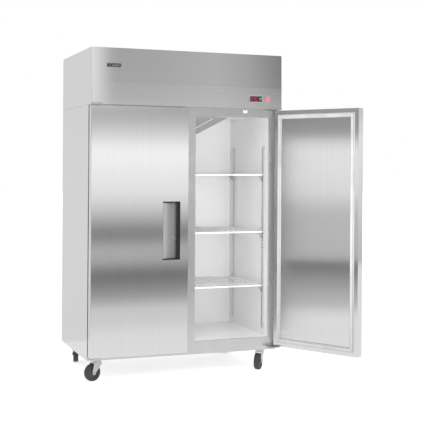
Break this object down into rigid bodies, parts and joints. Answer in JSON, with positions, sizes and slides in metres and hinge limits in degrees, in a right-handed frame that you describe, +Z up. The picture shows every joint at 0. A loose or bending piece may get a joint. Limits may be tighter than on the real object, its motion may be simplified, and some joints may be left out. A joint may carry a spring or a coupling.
{
  "type": "reach in refrigerator",
  "caption": "Upright stainless steel kitchen refrigerator with side-by-side solid doors, wire shelves, a top machine compartment and swivel casters.",
  "frame": {"origin": "on the floor, under the middle of the cabinet's footprint", "axes": "+Z up, front faces -Y, +X to the right of someone facing the doors"},
  "size_m": [1.5273, 1.2445, 1.95],
  "materials": {
    "brushed_stainless": "fine vertical brushed grain",
    "galvanised_steel": "dull zinc coat",
    "liner_stainless": "satin",
    "foam": "cellular",
    "gasket_rubber": "soft matte grey",
    "black_plastic": "moulded, fine texture",
    "badge_black": "gloss",
    "bezel_grey": "moulded",
    "red_lens": "translucent gloss",
    "nylon_white": "smooth",
    "zinc_steel": "bright zinc plate",
    "wheel_rubber": "matte tread",
    "shelf_coating": "smooth epoxy coat",
    "coil_aluminium": "thin fins",
    "compressor_black": "semi-gloss",
    "copper": "drawn tube"
  },
  "bodies": {
    "root": {"left_side_panel": "brushed_stainless", "right_side_panel": "brushed_stainless", "back_panel": "galvanised_steel", "base_panel": "galvanised_steel", "machine_deck": "galvanised_steel", "front_frame": "brushed_stainless", "inner_liner": "liner_stainless", "insulation": "foam", "header_front_panel": "brushed_stainless", "header_rear_grille": "galvanised_steel", "header_top_cover": "brushed_stainless", "badge_plate": "badge_black", "controller_housing": "bezel_grey", "switch_housing": "black_plastic", "door_switches": "nylon_white", "hinge_brackets": "brushed_stainless", "shelf_pilasters": "liner_stainless", "shelf_clips": "black_plastic", "evaporator_cover": "liner_stainless", "evaporator_coil": "coil_aluminium", "compressor": "compressor_black", "condenser": "coil_aluminium", "electrical_box": "black_plastic", "refrigerant_lines": "copper", "caster_plates": "zinc_steel"},
    "left_door": {"left_door_skin": "brushed_stainless", "left_door_core": "foam", "left_door_inner_panel": "liner_stainless", "left_door_gasket": "gasket_rubber", "left_door_handle": "black_plastic", "left_door_bushes": "nylon_white"},
    "left_plunger": {"left_door_plunger": "nylon_white"},
    "right_door": {"right_door_skin": "brushed_stainless", "right_door_core": "foam", "right_door_inner_panel": "liner_stainless", "right_door_gasket": "gasket_rubber", "right_door_handle": "black_plastic", "right_door_bushes": "nylon_white"},
    "right_plunger": {"right_door_plunger": "nylon_white"},
    "front_left_fork": {"front_left_fork": "zinc_steel"},
    "front_left_wheel": {"front_left_wheel": "wheel_rubber"},
    "front_right_fork": {"front_right_fork": "zinc_steel"},
    "front_right_wheel": {"front_right_wheel": "wheel_rubber"},
    "rear_left_fork": {"rear_left_fork": "zinc_steel"},
    "rear_left_wheel": {"rear_left_wheel": "wheel_rubber"},
    "rear_right_fork": {"rear_right_fork": "zinc_steel"},
    "rear_right_wheel": {"rear_right_wheel": "wheel_rubber"},
    "left_upper_shelf": {"left_upper_shelf": "shelf_coating"},
    "left_middle_shelf": {"left_middle_shelf": "shelf_coating"},
    "left_lower_shelf": {"left_lower_shelf": "shelf_coating"},
    "right_upper_shelf": {"right_upper_shelf": "shelf_coating"},
    "right_middle_shelf": {"right_middle_shelf": "shelf_coating"},
    "right_lower_shelf": {"right_lower_shelf": "shelf_coating"},
    "evaporator_fan": {"evaporator_fan": "black_plastic"},
    "condenser_fan": {"condenser_fan": "black_plastic"},
    "power_rocker": {"power_rocker": "red_lens"},
    "key_lower_left": {"key_lower_left": "bezel_grey"},
    "key_lower_right": {"key_lower_right": "bezel_grey"},
    "key_upper_left": {"key_upper_left": "bezel_grey"},
    "key_upper_right": {"key_upper_right": "bezel_grey"}
  },
  "joints": [
    {"name": "right_door_hinge", "type": "hinge", "parent": "root", "child": "right_door", "pos_m": [0.589, -0.343, 0.13], "axis": [0, 0, 1], "range_deg": [-121, 0]},
    {"name": "left_door_hinge", "type": "hinge", "parent": "root", "child": "left_door", "pos_m": [-0.589, -0.343, 0.13], "axis": [0, 0, -1], "range_deg": [0, 121]},
    {"name": "right_plunger_slide", "type": "slide", "parent": "root", "child": "right_plunger", "axis": [0, -1, 0], "range_m": [-0.0031, 0]},
    {"name": "left_plunger_slide", "type": "slide", "parent": "root", "child": "left_plunger", "axis": [0, -1, 0], "range_m": [0, 0.0031]},
    {"name": "front_left_swivel", "type": "hinge", "parent": "root", "child": "front_left_fork", "pos_m": [-0.524, -0.245, 0.11], "axis": [0, 0, 1], "continuous": true},
    {"name": "front_left_roll", "type": "hinge", "parent": "front_left_fork", "child": "front_left_wheel", "pos_m": [-0.55182, -0.25624, 0.05], "axis": [0.3746, -0.9272, 0], "continuous": true},
    {"name": "front_right_swivel", "type": "hinge", "parent": "root", "child": "front_right_fork", "pos_m": [0.524, -0.245, 0.11], "axis": [0, 0, 1], "continuous": true},
    {"name": "front_right_roll", "type": "hinge", "parent": "front_right_fork", "child": "front_right_wheel", "pos_m": [0.50472, -0.26798, 0.05], "axis": [0.766, -0.6428, 0], "continuous": true},
    {"name": "rear_left_swivel", "type": "hinge", "parent": "root", "child": "rear_left_fork", "pos_m": [-0.524, 0.301, 0.11], "axis": [0, 0, 1], "continuous": true},
    {"name": "rear_left_roll", "type": "hinge", "parent": "rear_left_fork", "child": "rear_left_wheel", "pos_m": [-0.51776, 0.33034, 0.05], "axis": [-0.9781, 0.2079, 0], "continuous": true},
    {"name": "rear_right_swivel", "type": "hinge", "parent": "root", "child": "rear_right_fork", "pos_m": [0.524, 0.301, 0.11], "axis": [0, 0, 1], "continuous": true},
    {"name": "rear_right_roll", "type": "hinge", "parent": "rear_right_fork", "child": "rear_right_wheel", "pos_m": [0.49681, 0.31368, 0.05], "axis": [-0.4226, -0.9063, 0], "continuous": true},
    {"name": "left_upper_shelf_lift", "type": "slide", "parent": "root", "child": "left_upper_shelf", "axis": [0, 0, 1], "range_m": [0, 0.02]},
    {"name": "left_middle_shelf_lift", "type": "slide", "parent": "root", "child": "left_middle_shelf", "axis": [0, 0, 1], "range_m": [0, 0.02]},
    {"name": "left_lower_shelf_lift", "type": "slide", "parent": "root", "child": "left_lower_shelf", "axis": [0, 0, 1], "range_m": [0, 0.02]},
    {"name": "right_upper_shelf_lift", "type": "slide", "parent": "root", "child": "right_upper_shelf", "axis": [0, 0, 1], "range_m": [0, 0.02]},
    {"name": "right_middle_shelf_lift", "type": "slide", "parent": "root", "child": "right_middle_shelf", "axis": [0, 0, 1], "range_m": [0, 0.02]},
    {"name": "right_lower_shelf_lift", "type": "slide", "parent": "root", "child": "right_lower_shelf", "axis": [0, 0, 1], "range_m": [0, 0.02]},
    {"name": "evaporator_fan_spin", "type": "hinge", "parent": "root", "child": "evaporator_fan", "pos_m": [0, -0.035, 1.562], "axis": [0, 0, 1], "continuous": true},
    {"name": "condenser_fan_spin", "type": "hinge", "parent": "root", "child": "condenser_fan", "pos_m": [-0.24, 0.232, 1.7635], "axis": [0, 1, 0], "continuous": true},
    {"name": "power_rocker_tilt", "type": "hinge", "parent": "root", "child": "power_rocker", "pos_m": [0.506, -0.385, 1.679], "axis": [1, 0, 0], "range_deg": [-12, 0]},
    {"name": "key_lower_left_press", "type": "slide", "parent": "root", "child": "key_lower_left", "axis": [0, 1, 0], "range_m": [0, 0.0008], "stiffness_N_per_m": 300},
    {"name": "key_lower_right_press", "type": "slide", "parent": "root", "child": "key_lower_right", "axis": [0, 1, 0], "range_m": [0, 0.0008], "stiffness_N_per_m": 300},
    {"name": "key_upper_left_press", "type": "slide", "parent": "root", "child": "key_upper_left", "axis": [0, 1, 0], "range_m": [0, 0.0008], "stiffness_N_per_m": 300},
    {"name": "key_upper_right_press", "type": "slide", "parent": "root", "child": "key_upper_right", "axis": [0, 1, 0], "range_m": [0, 0.0008], "stiffness_N_per_m": 300}
  ],
  "couplings": [
    {"joint": "right_plunger_slide", "follows": "right_door_hinge", "m_per_rad": 0.0014206},
    {"joint": "left_plunger_slide", "follows": "left_door_hinge", "m_per_rad": 0.0014206}
  ]
}
